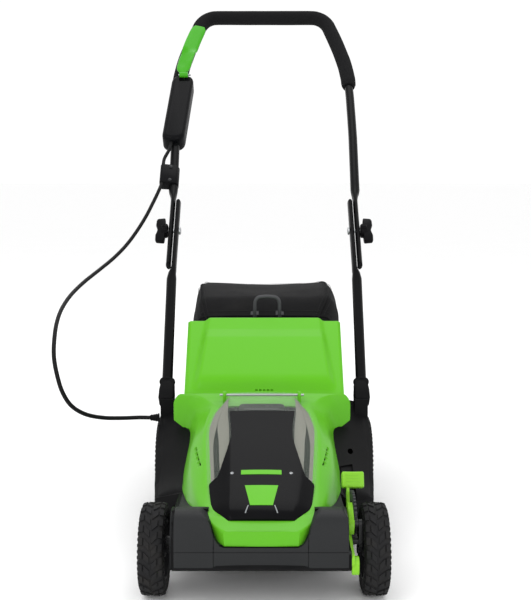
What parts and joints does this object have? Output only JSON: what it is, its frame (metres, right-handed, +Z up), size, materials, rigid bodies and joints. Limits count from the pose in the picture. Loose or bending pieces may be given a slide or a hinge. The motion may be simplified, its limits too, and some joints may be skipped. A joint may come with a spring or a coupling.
{
  "type": "push lawn mower",
  "caption": "Small cordless push mower: wheeled cutting deck under a hood with a battery door, a rear grass bag, and a folding tube handle with switch box and bail lever.",
  "frame": {"origin": "on the ground under the middle of the machine's length and width", "axes": "+X to the right seen from the front, +Y from the nose to the handle, +Z up"},
  "size_m": [0.5982, 1.2637, 1.0546],
  "materials": {
    "deck_plastic": "black moulded plastic with a fine grain",
    "hood_plastic": "bright green moulded plastic",
    "lime_plastic": "yellow-green moulded plastic",
    "grey_plastic": "dark grey moulded plastic",
    "clear_plastic": "smoked clear plastic",
    "tyre_rubber": "hard black tread",
    "soft_rubber": "matt black rubber",
    "foam": "black foam",
    "tube_paint": "black powder coat on steel tube",
    "zinc_steel": "zinc-plated steel",
    "blade_steel": "hardened steel, dark finish",
    "bag_fabric": "black woven polyester",
    "strap": "grey moulded strap",
    "board": "green circuit board",
    "motor_metal": "motor can"
  },
  "bodies": {
    "chassis": {"deck_shell": "deck_plastic", "motor_hood": "hood_plastic", "battery_bay": "deck_plastic", "battery_terminals": "zinc_steel", "motor_can": "motor_metal", "control_board": "board", "door_hinge_pin": "zinc_steel", "flap_hinge_rod": "zinc_steel", "flap_spring": "zinc_steel", "lower_handle_left": "tube_paint", "lower_handle_right": "tube_paint", "knob_bolt_left": "zinc_steel", "knob_bolt_right": "zinc_steel", "height_quadrant": "grey_plastic", "front_axle_clip_left": "zinc_steel", "front_axle_clip_right": "zinc_steel", "rear_axle_clip_left": "zinc_steel", "rear_axle_clip_right": "zinc_steel", "cable_gland": "soft_rubber", "switch_cable": "soft_rubber"},
    "front_axle_set": {"front_axle": "zinc_steel", "height_lever": "lime_plastic", "lever_grip": "lime_plastic"},
    "rear_axle_set": {"rear_axle": "zinc_steel"},
    "link": {"height_link_rod": "zinc_steel"},
    "front_wheel_left": {"front_left_tyre": "tyre_rubber", "front_left_hub": "grey_plastic"},
    "front_wheel_right": {"front_right_tyre": "tyre_rubber", "front_right_hub": "grey_plastic"},
    "rear_wheel_left": {"rear_left_tyre": "tyre_rubber", "rear_left_hub": "grey_plastic"},
    "rear_wheel_right": {"rear_right_tyre": "tyre_rubber", "rear_right_hub": "grey_plastic"},
    "rotor": {"motor_shaft": "zinc_steel", "blade_fan": "deck_plastic", "blade": "blade_steel", "blade_bolt": "zinc_steel"},
    "door": {"battery_door": "clear_plastic", "door_front_panel": "deck_plastic"},
    "battery": {"battery_pack": "deck_plastic"},
    "latch": {"battery_latch": "grey_plastic"},
    "key": {"safety_key": "hood_plastic"},
    "flap": {"rear_flap": "hood_plastic"},
    "grass_bag": {"bag_body": "bag_fabric", "bag_frame": "deck_plastic", "bag_handle": "strap"},
    "upper_handle_set": {"upper_handle": "tube_paint", "foam_grip": "foam", "switch_box_front": "deck_plastic", "switch_box_back": "deck_plastic", "lever_pin": "zinc_steel", "cable_clip": "deck_plastic", "switch_cable_held": "soft_rubber"},
    "bail": {"bail_lever": "lime_plastic"},
    "button": {"start_button": "lime_plastic"},
    "knob_left": {"wing_knob_left": "deck_plastic"},
    "knob_right": {"wing_knob_right": "deck_plastic"}
  },
  "joints": [
    {"name": "height_lever_turn", "type": "hinge", "parent": "chassis", "child": "front_axle_set", "pos_m": [0, -0.56486, 0.0906], "axis": [1, 0, 0], "range_deg": [-15, 55]},
    {"name": "rear_axle_turn", "type": "hinge", "parent": "chassis", "child": "rear_axle_set", "pos_m": [0, -0.11986, 0.1056], "axis": [1, 0, 0], "range_deg": [-15, 55]},
    {"name": "link_turn", "type": "hinge", "parent": "front_axle_set", "child": "link", "pos_m": [0.139, -0.56486, 0.1186], "axis": [1, 0, 0], "range_deg": [-55, 15]},
    {"name": "front_wheel_left_spin", "type": "hinge", "parent": "front_axle_set", "child": "front_wheel_left", "pos_m": [-0.168, -0.54036, 0.07], "axis": [1, 0, 0], "continuous": true},
    {"name": "front_wheel_right_spin", "type": "hinge", "parent": "front_axle_set", "child": "front_wheel_right", "pos_m": [0.168, -0.54036, 0.07], "axis": [1, 0, 0], "continuous": true},
    {"name": "rear_wheel_left_spin", "type": "hinge", "parent": "rear_axle_set", "child": "rear_wheel_left", "pos_m": [-0.187, -0.09536, 0.085], "axis": [1, 0, 0], "continuous": true},
    {"name": "rear_wheel_right_spin", "type": "hinge", "parent": "rear_axle_set", "child": "rear_wheel_right", "pos_m": [0.187, -0.09536, 0.085], "axis": [1, 0, 0], "continuous": true},
    {"name": "blade_spin", "type": "hinge", "parent": "chassis", "child": "rotor", "pos_m": [0, -0.32536, 0.068], "axis": [0, 0, 1], "continuous": true},
    {"name": "battery_door_lift", "type": "hinge", "parent": "chassis", "child": "door", "pos_m": [-0.004, -0.28918, 0.25561], "axis": [-1, 0, 0], "range_deg": [0, 75]},
    {"name": "battery_slide", "type": "slide", "parent": "chassis", "child": "battery", "axis": [0, -0.9379, -0.347], "range_m": [0, 0.008]},
    {"name": "battery_latch_press", "type": "slide", "parent": "battery", "child": "latch", "axis": [0, 0.347, -0.9379], "range_m": [0, 0.004], "stiffness_N_per_m": 300, "springref_m": -0.002},
    {"name": "safety_key_pull", "type": "slide", "parent": "chassis", "child": "key", "axis": [0, -0.347, 0.9379], "range_m": [0, 0.005]},
    {"name": "rear_flap_lift", "type": "hinge", "parent": "chassis", "child": "flap", "pos_m": [0, -0.24036, 0.233], "axis": [1, 0, 0], "range_deg": [0, 70]},
    {"name": "grass_bag_slide", "type": "slide", "parent": "chassis", "child": "grass_bag", "axis": [0, 0.9397, 0.342], "range_m": [0, 0.3]},
    {"name": "handle_fold", "type": "hinge", "parent": "chassis", "child": "upper_handle_set", "pos_m": [0, 0.09879, 0.52316], "axis": [1, 0, 0], "range_deg": [-75, 145]},
    {"name": "bail_squeeze", "type": "hinge", "parent": "upper_handle_set", "child": "bail", "pos_m": [-0.191, 0.41346, 0.876], "axis": [-1, 0, 0], "range_deg": [0, 4.5], "stiffness_Nm_per_rad": 2, "springref_deg": -20.05},
    {"name": "start_button_press", "type": "slide", "parent": "upper_handle_set", "child": "button", "axis": [1, 0, 0], "range_m": [0, 0.0035], "stiffness_N_per_m": 400, "springref_m": -0.002},
    {"name": "knob_left_turn", "type": "hinge", "parent": "chassis", "child": "knob_left", "pos_m": [-0.215, 0.09879, 0.52316], "axis": [1, 0, 0], "continuous": true},
    {"name": "knob_right_turn", "type": "hinge", "parent": "chassis", "child": "knob_right", "pos_m": [0.215, 0.09879, 0.52316], "axis": [1, 0, 0], "continuous": true}
  ],
  "couplings": [
    {"joint": "rear_axle_turn", "follows": "height_lever_turn", "ratio": 1},
    {"joint": "link_turn", "follows": "height_lever_turn", "ratio": -1}
  ]
}
